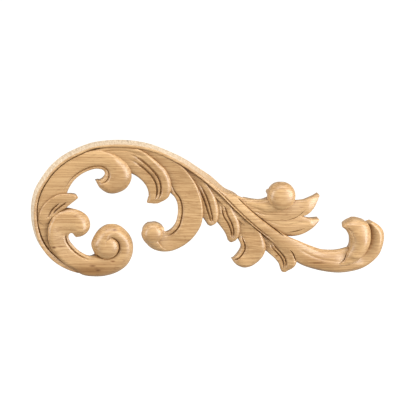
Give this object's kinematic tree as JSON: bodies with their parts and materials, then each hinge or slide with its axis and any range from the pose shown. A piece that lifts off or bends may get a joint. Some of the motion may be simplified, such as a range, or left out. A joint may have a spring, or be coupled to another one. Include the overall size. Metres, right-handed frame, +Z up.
{
  "type": "carved wood scroll applique",
  "caption": "Flat-backed carved wood ornament: a long acanthus scroll with overlapping leaves, curls and a round bud.",
  "frame": {"origin": "centre of the ornament's length and height, on its flat back", "axes": "+X along the ornament towards its end curl, +Z up, -Y out of the carved face, +Y into what it is fixed to"},
  "size_m": [0.2505, 0.0164, 0.0957],
  "materials": {
    "beech": "bare pale beech, carved, satin, fine grain along the length"
  },
  "bodies": {
    "root": {"scroll_applique": "beech"}
  },
  "joints": []
}
